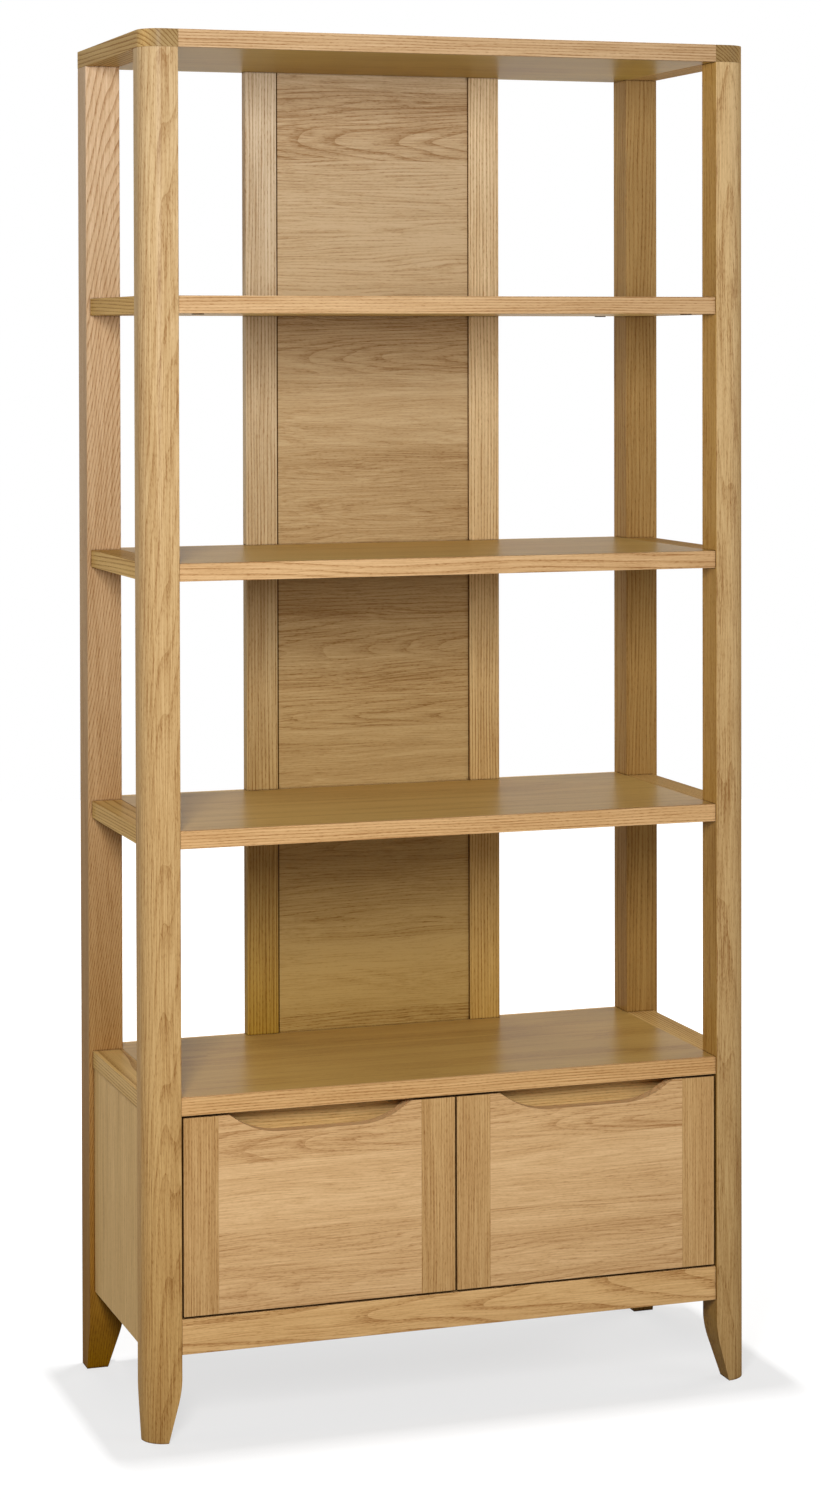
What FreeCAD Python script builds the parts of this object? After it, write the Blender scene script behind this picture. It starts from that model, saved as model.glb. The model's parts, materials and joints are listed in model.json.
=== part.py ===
import FreeCAD, Part
import math
import os

# Open oak display unit with two drawers. Millimetres, +Z up, front faces -Y.
# The origin is on the floor, under the middle of the unit.

# Posts and feet
unit_width = 884.0
unit_depth = 382.0
post_size = 50.0
post_corner_radius = 32.0
post_arris = 1.5
foot_tip = 31.0
foot_taper_height = 92.0
foot_curve_radius = 160.0

# Levels, from the floor up
base_clearance = 117.0
base_rail_height = 48.0
drawer_opening_height = 274.5
board_thickness = 24.0
bay_height = 336.0
top_bay_height = 332.5

# Boards and the rails at their ends
board_setback = 3.0
lipping_width = 8.0
rail_inset = 6.0
board_arris = 1.0
tenon_length = 12.0
tenon_thickness = 10.0
tenon_shoulder = 10.0
top_tongue = 8.0
top_tongue_stop = 25.0

# Cam fittings that hold the shelf boards between the posts
cam_diameter = 15.0
cam_depth = 16.0
cam_from_board_end = 34.0
cam_from_post_edge = 21.0
cam_cross_length = 9.0
cam_cross_width = 1.8
cam_cross_depth = 2.5
bolt_diameter = 7.0
bolt_neck_diameter = 4.5
bolt_in_post = 11.0
bolt_sides = 8

# Back ladder
back_width = 394.0
back_stile_width = 48.0
back_stile_thickness = 18.0
back_panel_thickness = 10.0
back_panel_recess = 3.5
back_groove_depth = 6.0
back_tenon_thickness = 8.0
back_tenon_shoulder = 10.0
back_tenon_length = 8.0

# Cabinet
side_panel_thickness = 18.0
side_panel_inset = 7.5
side_tongue_thickness = 8.0
side_tongue_depth = 8.0
base_rail_thickness = 20.0
cabinet_floor_thickness = 16.0
cabinet_groove_depth = 6.0
cabinet_back_thickness = 6.0
cabinet_back_setback = 8.0
partition_thickness = 18.0
partition_tongue = 5.0
partition_tongue_thickness = 6.0
partition_tongue_stop = 40.0
finger_rail_height = 45.0
finger_rail_thickness = 20.0
finger_tongue = 5.0
finger_tongue_stop = 25.0
finger_gap = 15.0
cleat_height = 60.0

# Drawers
front_gap = 3.0
front_thickness = 18.0
front_stile_width = 49.0
front_tongue = 6.0
front_tongue_stop = 12.0
scoop_width = 260.0
scoop_depth = 27.5
scoop_radius = 110.0
scoop_slope_deg = 34.0
box_wall = 12.0
box_length = 300.0
box_height = 200.0
box_floor_clearance = 10.0
box_bottom_thickness = 6.0
box_bottom_rise = 14.0
box_groove_depth = 6.0
tail_count = 4
tail_width = 30.0
tail_taper = 2.0

# Ball-bearing runners in three sections
runner_length = box_length
runner_height = 45.0
runner_width = 12.7
runner_sheet = 1.2
runner_gap = 0.4
runner_front_gap = 1.5
runner_above_box_bottom = 60.0

# Play in mortises and grooves
fit_gap = 0.1

half_width = unit_width / 2
half_depth = unit_depth / 2
inner_x = half_width - post_size
inner_y = half_depth - post_size
board_front = -half_depth + board_setback
board_back = half_depth - board_setback
rail_outer = half_width - rail_inset
rail_middle = (rail_outer + inner_x) / 2
rail_tenon_half = (rail_outer - inner_x) / 2 - tenon_shoulder

cabinet_floor_top = base_clearance + base_rail_height
cabinet_head = cabinet_floor_top + drawer_opening_height
cabinet_top_z = cabinet_head + board_thickness
shelf_pitch = bay_height + board_thickness
level_tops = {
    "cabinet_top": cabinet_top_z,
    "lower_shelf": cabinet_top_z + shelf_pitch,
    "middle_shelf": cabinet_top_z + 2 * shelf_pitch,
    "upper_shelf": cabinet_top_z + 3 * shelf_pitch,
}
shelf_names = ["lower_shelf", "middle_shelf", "upper_shelf"]
post_top = level_tops["upper_shelf"] + top_bay_height
unit_height = post_top + board_thickness

side_face = half_width - side_panel_inset
side_inner = side_face - side_panel_thickness
floor_front = board_front + base_rail_thickness
cabinet_back_front = board_back - cabinet_back_setback - cabinet_back_thickness
front_back = board_front + front_thickness
finger_rail_front = front_back + finger_gap
finger_rail_back = finger_rail_front + finger_rail_thickness
runner_front = front_back + runner_front_gap
box_bottom_z = cabinet_floor_top + box_floor_clearance
box_top_z = box_bottom_z + box_height
runner_middle_z = box_bottom_z + runner_above_box_bottom
front_bottom = cabinet_floor_top + front_gap
front_top = cabinet_head - front_gap

LEFT = -1
RIGHT = 1
FRONT = -1
REAR = 1
FLOOR_END = -1
HEAD_END = 1
SIDE_NAMES = {LEFT: "left", RIGHT: "right"}
END_NAMES = {FRONT: "front", REAR: "rear"}
UP = FreeCAD.Vector(0, 0, 1)
# A cutting tool runs this far past the face that it opens.
overrun = 1.0


def block(xs, ys, zs):
    """Rectangular block between two x, two y and two z values, given in any order."""
    x0, x1 = sorted(xs)
    y0, y1 = sorted(ys)
    z0, z1 = sorted(zs)
    return Part.makeBox(x1 - x0, y1 - y0, z1 - z0, FreeCAD.Vector(x0, y0, z0))


def grown(shape, gap):
    """The bounding block of a tenon or tongue, larger by the gap on every side."""
    limits = shape.BoundBox
    return block(
        (limits.XMin - gap, limits.XMax + gap),
        (limits.YMin - gap, limits.YMax + gap),
        (limits.ZMin - gap, limits.ZMax + gap),
    )


def chosen_edges(shape, wanted):
    """Edges whose middle point and direction satisfy the test."""
    chosen = []
    for edge in shape.Edges:
        start = edge.Vertexes[0].Point
        end = edge.Vertexes[-1].Point
        if wanted((start + end) * 0.5, end - start):
            chosen.append(edge)
    return chosen


def rounded(shape, radius, wanted):
    """Round the chosen edges to a radius."""
    return shape.makeFillet(radius, chosen_edges(shape, wanted))


def eased(shape, width, wanted):
    """Take a small arris off the chosen edges and what runs on from them."""
    return shape.makeChamfer(width, chosen_edges(shape, wanted))


def prism(points, offset):
    """Solid swept along the offset from a closed outline of straight sides."""
    outline = Part.makePolygon(points + points[:1])
    return Part.Face(outline).extrude(offset)


def foot_curve_points():
    """Tangent point and mid-arc point of the foot's taper, as (inset, height) pairs."""
    centre_u = post_size - foot_curve_radius
    reach_u = foot_tip - centre_u
    distance = math.hypot(reach_u, foot_taper_height)
    toward_tip = math.atan2(-foot_taper_height, reach_u)
    tangent_angle = toward_tip + math.acos(foot_curve_radius / distance)
    points = []
    for angle in (tangent_angle, tangent_angle / 2):
        u = centre_u + foot_curve_radius * math.cos(angle)
        z = foot_taper_height + foot_curve_radius * math.sin(angle)
        points.append((u, z))
    return points


def foot_cutter(to_point, along):
    """Waste beyond one tapered inner face of a foot, swept across the post."""
    tangent, middle = foot_curve_points()
    tip = to_point(foot_tip, 0)
    low_tip = to_point(foot_tip, -overrun)
    tangent_point = to_point(*tangent)
    top = to_point(post_size, foot_taper_height)
    outer_top = to_point(post_size + overrun, foot_taper_height)
    outer_low = to_point(post_size + overrun, -overrun)
    edges = [
        Part.LineSegment(low_tip, tip).toShape(),
        Part.LineSegment(tip, tangent_point).toShape(),
        Part.Arc(tangent_point, to_point(*middle), top).toShape(),
        Part.LineSegment(top, outer_top).toShape(),
        Part.LineSegment(outer_top, outer_low).toShape(),
        Part.LineSegment(outer_low, low_tip).toShape(),
    ]
    return Part.Face(Part.Wire(edges)).extrude(along)


def plain_post(end):
    """Post with its outer corner at the origin, growing along +X and +Y.

    The front posts have the large rounded corner, and both have the tapered foot.
    """
    post = block((0, post_size), (0, post_size), (0, post_top))
    if end == FRONT:
        post = rounded(
            post, post_corner_radius, lambda mid, way: abs(way.z) > overrun and mid.x + mid.y < overrun
        )
    across = post_size + 2 * overrun
    post = post.cut(
        foot_cutter(lambda u, z: FreeCAD.Vector(u, -overrun, z), FreeCAD.Vector(0, across, 0))
    )
    post = post.cut(
        foot_cutter(lambda u, z: FreeCAD.Vector(-overrun, u, z), FreeCAD.Vector(across, 0, 0))
    )
    return eased(
        post,
        post_arris,
        lambda mid, way: abs(way.z) > post_top / 2
        and (max(mid.x, mid.y) > post_size - overrun or mid.x + mid.y < overrun),
    )


def placed_post(side, end):
    """Plain post moved to its corner of the unit."""
    post = plain_post(end)
    if side == RIGHT:
        post = post.mirror(FreeCAD.Vector(0, 0, 0), FreeCAD.Vector(1, 0, 0))
    if end == REAR:
        post = post.mirror(FreeCAD.Vector(0, 0, 0), FreeCAD.Vector(0, 1, 0))
    post.translate(FreeCAD.Vector(side * half_width, end * half_depth, 0))
    return post


def post_tenon(side, end):
    """Stub tenon on the top of a post, let into the top rail."""
    centre_x = side * (half_width - post_size / 2)
    centre_y = end * (half_depth - post_size / 2)
    half = post_size / 2 - tenon_shoulder
    return block(
        (centre_x - half, centre_x + half),
        (centre_y - half, centre_y + half),
        (post_top, post_top + tenon_length),
    )


def rail_tenon(side, end, top):
    """Tenon of a side rail, let into the post at one of its ends."""
    middle_z = top - board_thickness / 2
    return block(
        (side * (rail_middle - rail_tenon_half), side * (rail_middle + rail_tenon_half)),
        (end * inner_y, end * (inner_y + tenon_length)),
        (middle_z - tenon_thickness / 2, middle_z + tenon_thickness / 2),
    )


def side_rail(side, top):
    """Rail between a front and a rear post that closes the end of a board."""
    rail = block(
        (side * inner_x, side * rail_outer), (-inner_y, inner_y), (top - board_thickness, top)
    )
    rail = eased(
        rail, board_arris, lambda mid, way: abs(way.y) > inner_y and abs(mid.x) > rail_outer - overrun
    )
    for end in (FRONT, REAR):
        rail = rail.fuse(rail_tenon(side, end, top))
    return rail


def lipping(front_y, top):
    """Solid front edge of a board, with both long front edges eased."""
    strip = block(
        (-inner_x, inner_x), (front_y, front_y + lipping_width), (top - board_thickness, top)
    )
    return eased(
        strip, board_arris, lambda mid, way: abs(way.x) > inner_x and mid.y < front_y + overrun
    )


def shelf_board(front_y, back_y, top):
    """Board behind its front edge strip."""
    return block(
        (-inner_x, inner_x), (front_y + lipping_width, back_y), (top - board_thickness, top)
    )


def cam_positions():
    """Corner signs of the four cam fittings of a shelf board."""
    return [(side, end) for side in (LEFT, RIGHT) for end in (FRONT, REAR)]


def cam_centre(side, end, top):
    """Point on the underside of a board in the middle of a cam."""
    return FreeCAD.Vector(
        side * (inner_x - cam_from_board_end),
        end * (inner_y + cam_from_post_edge),
        top - board_thickness,
    )


def cam_pocket(side, end, top):
    """Round pocket in the underside of a board."""
    return Part.makeCylinder(cam_diameter / 2, cam_depth, cam_centre(side, end, top), UP)


def bolt_bar(side, end, top, start, stop, diameter):
    """Bar along X on a bolt's axis, between two distances into the board from its end.

    Bolts and their holes are hidden and repeat often, so they have a few flat sides.
    """
    axis_y = end * (inner_y + cam_from_post_edge)
    axis_z = top - board_thickness / 2
    corners = []
    for index in range(bolt_sides):
        angle = 2 * math.pi * (index + 0.5) / bolt_sides
        corners.append(
            FreeCAD.Vector(
                side * (inner_x - start),
                axis_y + diameter / 2 * math.cos(angle),
                axis_z + diameter / 2 * math.sin(angle),
            )
        )
    return prism(corners, FreeCAD.Vector(-side * (stop - start), 0, 0))


def cam_lock(side, end, top):
    """Turning cam with a slot for the bolt and a cross recess for the driver."""
    centre = cam_centre(side, end, top)
    cam = Part.makeCylinder(cam_diameter / 2 - fit_gap, cam_depth - fit_gap, centre, UP)
    half_slot = bolt_diameter / 2 + fit_gap
    axis_z = top - board_thickness / 2
    slot = block(
        (centre.x, centre.x + side * cam_diameter),
        (centre.y - half_slot, centre.y + half_slot),
        (axis_z - half_slot, axis_z + half_slot),
    )
    cam = cam.cut(slot)
    for half_x, half_y in (
        (cam_cross_length / 2, cam_cross_width / 2),
        (cam_cross_width / 2, cam_cross_length / 2),
    ):
        recess = block(
            (centre.x - half_x, centre.x + half_x),
            (centre.y - half_y, centre.y + half_y),
            (centre.z - overrun, centre.z + cam_cross_depth),
        )
        cam = cam.cut(recess)
    return cam


def cam_bolt(side, end, top):
    """Steel bolt from its seat in the post into the cam, where it has a thinner neck."""
    neck_start = cam_from_board_end - cam_diameter / 2
    head_start = cam_from_board_end - bolt_neck_diameter / 2
    shank = bolt_bar(side, end, top, -bolt_in_post, neck_start, bolt_diameter)
    neck = bolt_bar(side, end, top, neck_start, head_start, bolt_neck_diameter)
    head = bolt_bar(side, end, top, head_start, cam_from_board_end, bolt_diameter)
    return shank.fuse(neck).fuse(head)


def bolt_hole(side, end, top):
    """Hole for a bolt, from its seat in the post to the cam pocket."""
    return bolt_bar(side, end, top, -bolt_in_post, cam_from_board_end, bolt_diameter)


def top_rail(side):
    """Full-depth end of the top, which lies over two posts and shows end grain in front."""
    rail = block(
        (side * inner_x, side * half_width), (-half_depth, half_depth), (post_top, unit_height)
    )
    rail = rounded(
        rail,
        post_corner_radius,
        lambda mid, way: abs(way.z) > overrun
        and mid.y < -half_depth + overrun
        and abs(mid.x) > half_width - overrun,
    )
    rail = eased(
        rail,
        post_arris,
        lambda mid, way: abs(way.z) > overrun
        and mid.y > half_depth - overrun
        and abs(mid.x) > half_width - overrun,
    )
    for end in (FRONT, REAR):
        rail = rail.cut(grown(post_tenon(side, end), fit_gap))
    return rail.cut(grown(top_tongue_block(side), fit_gap))


def top_tongue_block(side):
    """Tongue on the end of the top board, stopped short of both edges."""
    middle_z = post_top + board_thickness / 2
    return block(
        (side * inner_x, side * (inner_x + top_tongue)),
        (-half_depth + top_tongue_stop, half_depth - top_tongue_stop),
        (middle_z - tenon_thickness / 2, middle_z + tenon_thickness / 2),
    )


def back_tenon(side, board_face, direction):
    """Tenon on the end of a back stile, let into the board that it meets."""
    middle_x = side * (back_width - back_stile_width) / 2
    half = back_stile_width / 2 - back_tenon_shoulder
    middle_y = board_back - back_stile_thickness / 2
    return block(
        (middle_x - half, middle_x + half),
        (middle_y - back_tenon_thickness / 2, middle_y + back_tenon_thickness / 2),
        (board_face, board_face + direction * back_tenon_length),
    )


def bays():
    """Lower and upper face of each open bay, from the bottom up."""
    faces = [(level_tops[name], level_tops[name] + bay_height) for name in list(level_tops)[:-1]]
    return faces + [(level_tops["upper_shelf"], post_top)]


def back_stile(side, low, high):
    """Upright of the back ladder in one bay, grooved for the panel."""
    outer = side * back_width / 2
    inner = outer - side * back_stile_width
    front = board_back - back_stile_thickness
    stile = block((outer, inner), (front, board_back), (low, high))
    stile = stile.fuse(back_tenon(side, low, -1)).fuse(back_tenon(side, high, 1))
    panel_front = front + back_panel_recess
    groove = block(
        (inner - side * overrun, inner + side * back_groove_depth),
        (panel_front - fit_gap, panel_front + back_panel_thickness + fit_gap),
        (low, high),
    )
    return stile.cut(groove)


def back_panel(low, high):
    """Panel of the back ladder in one bay, held in the grooves of its stiles."""
    half = back_width / 2 - back_stile_width + back_groove_depth - fit_gap
    panel_front = board_back - back_stile_thickness + back_panel_recess
    return block((-half, half), (panel_front, panel_front + back_panel_thickness), (low, high))


def side_tongue(side, end):
    """Tongue of a cabinet side panel, let into a post."""
    middle_x = side * (side_face + side_inner) / 2
    return block(
        (middle_x - side_tongue_thickness / 2, middle_x + side_tongue_thickness / 2),
        (end * inner_y, end * (inner_y + side_tongue_depth)),
        (base_clearance, cabinet_head),
    )


def side_panel(side):
    """Veneered side of the cabinet between a front and a rear post."""
    panel = block(
        (side * side_face, side * side_inner), (-inner_y, inner_y), (base_clearance, cabinet_head)
    )
    for end in (FRONT, REAR):
        panel = panel.fuse(side_tongue(side, end))
    return panel.cut(grown(cabinet_floor_wings(), fit_gap))


def base_rail_tenon(side):
    """Tenon of the base rail, let into a front post."""
    middle_y = board_front + base_rail_thickness / 2
    return block(
        (side * inner_x, side * (inner_x + tenon_length)),
        (middle_y - tenon_thickness / 2, middle_y + tenon_thickness / 2),
        (base_clearance + tenon_shoulder, cabinet_floor_top - tenon_shoulder),
    )


def base_rail():
    """Rail under the drawer fronts."""
    rail = block(
        (-inner_x, inner_x),
        (board_front, board_front + base_rail_thickness),
        (base_clearance, cabinet_floor_top),
    )
    rail = eased(
        rail, board_arris, lambda mid, way: abs(way.x) > inner_x and mid.y < board_front + overrun
    )
    return rail.fuse(base_rail_tenon(LEFT)).fuse(base_rail_tenon(RIGHT))


def cabinet_floor_wings():
    """Part of the cabinet floor that runs into grooves in both side panels."""
    half = side_inner + cabinet_groove_depth
    return block(
        (-half, half),
        (-inner_y, inner_y),
        (cabinet_floor_top - cabinet_floor_thickness, cabinet_floor_top),
    )


def cabinet_floor():
    """Board under the drawers, notched round the four posts."""
    middle = block(
        (-inner_x, inner_x),
        (floor_front, cabinet_back_front),
        (cabinet_floor_top - cabinet_floor_thickness, cabinet_floor_top),
    )
    board = middle.fuse(cabinet_floor_wings()).removeSplitter()
    return board.cut(partition_tongue_block(FLOOR_END))


def cabinet_back():
    """Thin back of the cabinet, held in grooves of the rear posts."""
    half = inner_x + cabinet_groove_depth
    return block(
        (-half, half),
        (cabinet_back_front, cabinet_back_front + cabinet_back_thickness),
        (base_clearance, cabinet_head),
    )


def partition_tongue_block(end):
    """Tongue on the bottom or top edge of the partition between the drawers."""
    face = cabinet_floor_top if end == FLOOR_END else cabinet_head
    half = partition_tongue_thickness / 2
    return block(
        (-half, half),
        (finger_rail_back + partition_tongue_stop, cabinet_back_front - partition_tongue_stop),
        (face, face + end * partition_tongue),
    )


def partition():
    """Upright between the two drawers, notched under the finger rail."""
    half = partition_thickness / 2
    upright = block(
        (-half, half), (runner_front, cabinet_back_front), (cabinet_floor_top, cabinet_head)
    )
    for end in (FLOOR_END, HEAD_END):
        upright = upright.fuse(partition_tongue_block(end))
    notch = block(
        (-partition_thickness, partition_thickness),
        (runner_front - overrun, finger_rail_back),
        (cabinet_head - finger_rail_height, cabinet_head + overrun),
    )
    return upright.cut(notch)


def finger_rail_tongue():
    """Tongue that holds the finger rail under the cabinet top."""
    middle_y = (finger_rail_front + finger_rail_back) / 2
    half = tenon_thickness / 2
    return block(
        (-inner_x + finger_tongue_stop, inner_x - finger_tongue_stop),
        (middle_y - half, middle_y + half),
        (cabinet_head, cabinet_head + finger_tongue),
    )


def finger_rail():
    """Oak rail behind the scoops, which shows through them."""
    rail = block(
        (-inner_x, inner_x),
        (finger_rail_front, finger_rail_back),
        (cabinet_head - finger_rail_height, cabinet_head),
    )
    return rail.fuse(finger_rail_tongue())


def runner_cleat(side):
    """Packer that brings a side panel flush with the posts, for the runner."""
    return block(
        (side * side_inner, side * inner_x),
        (-inner_y, inner_y),
        (runner_middle_z - cleat_height / 2, runner_middle_z + cleat_height / 2),
    )


def channel(wall_x, way, low, high, half_height, web_at_wall):
    """Folded steel channel along Y, given by its two distances from the wall."""
    ys = (runner_front, runner_front + runner_length)
    xs = (wall_x + way * low, wall_x + way * high)
    body = block(xs, ys, (runner_middle_z - half_height, runner_middle_z + half_height))
    if web_at_wall:
        hollow_xs = (wall_x + way * (low + runner_sheet), wall_x + way * (high + overrun))
    else:
        hollow_xs = (wall_x + way * (low - overrun), wall_x + way * (high - runner_sheet))
    inside = half_height - runner_sheet
    hollow = block(
        hollow_xs,
        (ys[0] - overrun, ys[1] + overrun),
        (runner_middle_z - inside, runner_middle_z + inside),
    )
    return body.cut(hollow)


def runner_section(wall_x, way, order):
    """One of the three nested sections: 0 on the wall, 1 between, 2 on the drawer."""
    step = runner_sheet + runner_gap
    low = order * step
    high = runner_width - (2 - order) * runner_gap * 2
    half_height = runner_height / 2 - order * step
    return channel(wall_x, way, low, high, half_height, web_at_wall=order < 2)


def drawer_walls(side):
    """The two faces that carry a drawer's runners, as (x, direction) pairs."""
    outer = (side * inner_x, -side)
    middle = (side * partition_thickness / 2, side)
    return [outer, middle]


def runner_pair(side, order):
    """The same section of both runners of a drawer."""
    return [runner_section(wall_x, way, order) for wall_x, way in drawer_walls(side)]


def front_limits(side):
    """Outer and inner x of a drawer front."""
    return side * (inner_x - front_gap), side * front_gap / 2


def front_stile(side, at_post):
    """Upright edge piece of a drawer front, grooved for the middle panel."""
    outer, inner = front_limits(side)
    start = outer if at_post else inner
    toward = -side if at_post else side
    end = start + toward * front_stile_width
    stile = block((start, end), (board_front, front_back), (front_bottom, front_top))
    stile = eased(
        stile,
        board_arris,
        lambda mid, way: abs(way.z) > front_stile_width
        and mid.y < board_front + overrun
        and abs(mid.x - start) < overrun,
    )
    return stile.cut(grown(front_tongue_block(side, end, -toward), fit_gap))


def front_tongue_block(side, seam, way):
    """Tongue of the middle panel of a drawer front, at one seam."""
    middle_y = (board_front + front_back) / 2
    half = front_tongue / 2
    return block(
        (seam, seam + way * front_tongue),
        (middle_y - half, middle_y + half),
        (front_bottom + front_tongue_stop, front_top - front_tongue_stop),
    )


def front_middle_x(side):
    """Middle of a drawer front."""
    outer, inner = front_limits(side)
    return (outer + inner) / 2


def scoop_cutter(side):
    """Waste above the hand scoop: sloped shoulders, two arcs and a flat floor."""
    slope = math.radians(scoop_slope_deg)
    floor_z = front_top - scoop_depth
    arc_rise = scoop_radius * (1 - math.cos(slope))
    ramp_run = (scoop_depth - arc_rise) / math.tan(slope)
    half_arc_end = scoop_width / 2 - ramp_run
    half_floor = half_arc_end - scoop_radius * math.sin(slope)
    half_mouth = scoop_width / 2 + overrun / math.tan(slope)
    arc_mid_run = scoop_radius * math.sin(slope / 2)
    arc_mid_rise = scoop_radius * (1 - math.cos(slope / 2))

    def point(x, z):
        return FreeCAD.Vector(front_middle_x(side) + x, board_front - overrun, z)

    def half_outline(hand):
        mouth = point(hand * half_mouth, front_top + overrun)
        ramp_end = point(hand * half_arc_end, floor_z + arc_rise)
        arc_middle = point(hand * (half_floor + arc_mid_run), floor_z + arc_mid_rise)
        floor_end = point(hand * half_floor, floor_z)
        ramp = Part.LineSegment(mouth, ramp_end).toShape()
        return mouth, floor_end, ramp, Part.Arc(ramp_end, arc_middle, floor_end).toShape()

    left_mouth, left_floor, left_ramp, left_arc = half_outline(LEFT)
    right_mouth, right_floor, right_ramp, right_arc = half_outline(RIGHT)
    floor = Part.LineSegment(left_floor, right_floor).toShape()
    mouth = Part.LineSegment(right_mouth, left_mouth).toShape()
    outline = Part.Wire([left_ramp, left_arc, floor, right_arc, right_ramp, mouth])
    return Part.Face(outline).extrude(FreeCAD.Vector(0, front_thickness + 2 * overrun, 0))


def front_panel(side):
    """Middle panel of a drawer front, with the scoop in its top edge."""
    outer, inner = front_limits(side)
    outer_seam = outer - side * front_stile_width
    inner_seam = inner + side * front_stile_width
    panel = block((outer_seam, inner_seam), (board_front, front_back), (front_bottom, front_top))
    panel = panel.fuse(front_tongue_block(side, outer_seam, side))
    panel = panel.fuse(front_tongue_block(side, inner_seam, -side))
    return panel.cut(scoop_cutter(side))


def box_limits(side):
    """Outer and inner x of a drawer box, between its two runners."""
    (outer_wall, outer_way), (inner_wall, inner_way) = drawer_walls(side)
    return outer_wall + outer_way * runner_width, inner_wall + inner_way * runner_width


def box_ends():
    """Front and rear y of a drawer box."""
    return front_back, front_back + box_length


def box_floor(side):
    """Bottom panel of a drawer box, which runs into a groove all round."""
    outer, inner = box_limits(side)
    inset = box_wall - box_groove_depth
    front_y, rear_y = box_ends()
    bottom_z = box_bottom_z + box_bottom_rise
    return block(
        (outer - side * inset, inner + side * inset),
        (front_y + inset, rear_y - inset),
        (bottom_z, bottom_z + box_bottom_thickness),
    )


def box_wall_face(side, wall_name):
    """Outer face of a drawer box side, as x and the direction into the box."""
    outer, inner = box_limits(side)
    return (outer, -side) if wall_name == "outer" else (inner, side)


def box_end_face(end):
    """Outer face of the front or rear wall of a drawer box, as y and direction."""
    front_y, rear_y = box_ends()
    return front_y if end == FRONT else rear_y, -end


def dovetails(side, wall_name, end):
    """Tails of one box corner, wide at the outer face of the end wall."""
    wall_x, way = box_wall_face(side, wall_name)
    face_y, inward = box_end_face(end)
    across = FreeCAD.Vector(way * box_wall, 0, 0)
    wide = tail_width / 2
    narrow = wide - tail_taper
    pitch = box_height / tail_count
    tails = []
    for index in range(tail_count):
        middle = box_bottom_z + pitch * (index + 0.5)
        corners = [
            FreeCAD.Vector(wall_x, face_y, middle - wide),
            FreeCAD.Vector(wall_x, face_y, middle + wide),
            FreeCAD.Vector(wall_x, face_y + inward * box_wall, middle + narrow),
            FreeCAD.Vector(wall_x, face_y + inward * box_wall, middle - narrow),
        ]
        tails.append(prism(corners, across))
    return Part.makeCompound(tails)


def box_side(side, wall_name):
    """Side of a drawer box, with tails at both ends and the groove for the bottom."""
    wall_x, way = box_wall_face(side, wall_name)
    wall_xs = (wall_x, wall_x + way * box_wall)
    wall = block(wall_xs, box_ends(), (box_bottom_z, box_top_z))
    for end in (FRONT, REAR):
        face_y, inward = box_end_face(end)
        corner = block(wall_xs, (face_y, face_y + inward * box_wall), (box_bottom_z, box_top_z))
        wall = wall.cut(corner.cut(dovetails(side, wall_name, end)))
    return wall.cut(box_floor(side))


def box_end(side, end):
    """Front or rear wall of a drawer box, with sockets for the tails."""
    face_y, inward = box_end_face(end)
    wall = block(
        box_limits(side), (face_y, face_y + inward * box_wall), (box_bottom_z, box_top_z)
    )
    for wall_name in ("outer", "inner"):
        wall = wall.cut(dovetails(side, wall_name, end))
    return wall.cut(box_floor(side))


def build_frame(nodes):
    """Four posts with every mortise, groove and bolt hole."""
    for side in (LEFT, RIGHT):
        for end in (FRONT, REAR):
            post = placed_post(side, end).fuse(post_tenon(side, end))
            for top in level_tops.values():
                post = post.cut(grown(rail_tenon(side, end, top), fit_gap))
            for name in shelf_names:
                post = post.cut(bolt_hole(side, end, level_tops[name]))
            post = post.cut(side_tongue(side, end))
            if end == FRONT:
                post = post.cut(grown(base_rail_tenon(side), fit_gap))
            else:
                post = post.cut(cabinet_back())
            nodes[f"post_{END_NAMES[end]}_{SIDE_NAMES[side]}"] = [post]


def build_top(nodes):
    """Top board with its end rails and front strip."""
    board = shelf_board(-half_depth, half_depth, unit_height)
    for side in (LEFT, RIGHT):
        board = board.fuse(top_tongue_block(side))
        board = board.cut(grown(back_tenon(side, post_top, 1), fit_gap))
        nodes[f"top_rail_{SIDE_NAMES[side]}"] = [top_rail(side)]
    nodes["top_board"] = [board]
    nodes["top_lipping"] = [lipping(-half_depth, unit_height)]


def build_levels(nodes):
    """The three shelves and the cabinet top, each with rails and front strip."""
    for name, top in level_tops.items():
        board = shelf_board(board_front, board_back, top)
        for side in (LEFT, RIGHT):
            nodes[f"{name}_rail_{SIDE_NAMES[side]}"] = [side_rail(side, top)]
            board = board.cut(grown(back_tenon(side, top, -1), fit_gap))
            if name != "cabinet_top":
                board = board.cut(grown(back_tenon(side, top - board_thickness, 1), fit_gap))
        if name == "cabinet_top":
            board = board.cut(partition_tongue_block(HEAD_END)).cut(finger_rail_tongue())
        else:
            for side, end in cam_positions():
                board = board.cut(cam_pocket(side, end, top)).cut(bolt_hole(side, end, top))
        nodes[f"{name}_board"] = [board]
        nodes[f"{name}_lipping"] = [lipping(board_front, top)]


def build_cam_fittings(nodes):
    """Cams in the shelf boards and the bolts that they pull on."""
    cams = []
    bolts = []
    for name in shelf_names:
        for side, end in cam_positions():
            cams.append(cam_lock(side, end, level_tops[name]))
            bolts.append(cam_bolt(side, end, level_tops[name]))
    nodes["cam_locks"] = cams
    nodes["cam_bolts"] = bolts


def build_back(nodes):
    """Stiles and panels of the open back ladder."""
    bay_names = ["lower", "middle", "upper", "top"]
    for side in (LEFT, RIGHT):
        stiles = [back_stile(side, low, high) for low, high in bays()]
        nodes[f"back_stiles_{SIDE_NAMES[side]}"] = stiles
    for bay_name, (low, high) in zip(bay_names, bays()):
        nodes[f"back_panel_{bay_name}"] = [back_panel(low, high)]


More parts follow.
